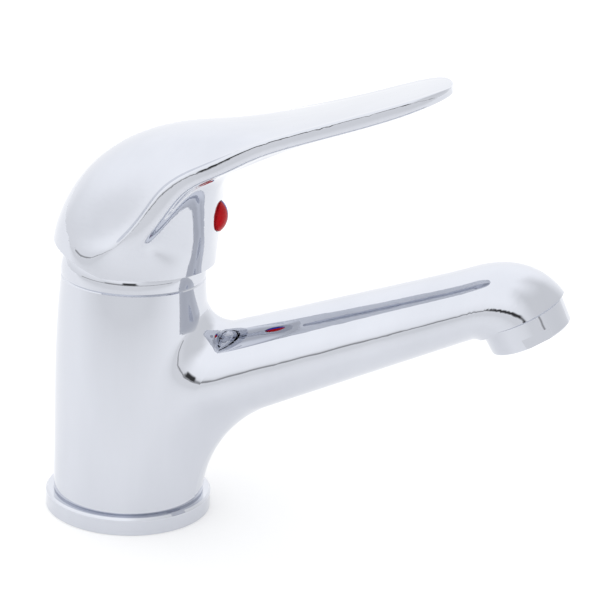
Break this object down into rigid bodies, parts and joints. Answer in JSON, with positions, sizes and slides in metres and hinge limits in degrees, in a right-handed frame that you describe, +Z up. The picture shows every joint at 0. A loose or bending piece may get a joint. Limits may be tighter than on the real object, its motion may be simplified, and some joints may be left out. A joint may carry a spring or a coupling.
{
  "type": "basin mixer faucet",
  "caption": "Chrome single-lever basin mixer faucet: round column with a rising spout and aerator, hooded lever that lifts for flow and turns for temperature, ceramic-disc cartridge inside.",
  "frame": {"origin": "centre of the base ring's underside, on the deck", "axes": "+Z up along the column, +X along the spout, +Y to the cold side"},
  "size_m": [0.1687, 0.058, 0.1513],
  "materials": {
    "chrome": "polished chrome plate",
    "seal_rubber": "black sealing rubber",
    "cartridge_plastic": "moulded white acetal",
    "ceramic": "lapped white ceramic",
    "steel": "plain stainless steel",
    "brass": "machined brass",
    "insert_plastic": "moulded insert",
    "index_red": "glossy red",
    "index_blue": "glossy blue"
  },
  "bodies": {
    "body": {"faucet_body": "chrome", "base_ring": "chrome", "base_gasket": "seal_rubber", "base_o_ring": "seal_rubber", "cartridge_base": "cartridge_plastic", "seat_seals": "seal_rubber", "disc_seals": "seal_rubber", "fixed_ceramic_disc": "ceramic", "cartridge_housing": "cartridge_plastic", "cartridge_nut": "brass", "cover_o_ring": "seal_rubber", "dome_cover": "chrome", "aerator_housing": "chrome", "aerator_washer": "seal_rubber", "aerator_grid": "insert_plastic", "aerator_mixer": "insert_plastic", "aerator_screen": "steel"},
    "swivel": {"cartridge_rotor": "cartridge_plastic", "pivot_pin": "steel"},
    "lever": {"lever_stem": "brass", "lever_handle": "chrome", "set_screw": "steel", "index_hot": "index_red", "index_cold": "index_blue"},
    "slider": {"disc_carrier": "cartridge_plastic", "moving_ceramic_disc": "ceramic"}
  },
  "joints": [
    {"name": "temperature_swivel", "type": "hinge", "parent": "body", "child": "swivel", "pos_m": [0, 0, 0.0773], "axis": [0, 0, 1], "range_deg": [-50, 50]},
    {"name": "flow_lift", "type": "hinge", "parent": "swivel", "child": "lever", "pos_m": [0, 0, 0.0773], "axis": [0, -1, 0], "range_deg": [0, 25]},
    {"name": "disc_slide", "type": "slide", "parent": "swivel", "child": "slider", "axis": [1, 0, 0], "range_m": [0, 0.005]}
  ],
  "couplings": [
    {"joint": "disc_slide", "follows": "flow_lift", "m_per_rad": 0.011409}
  ]
}
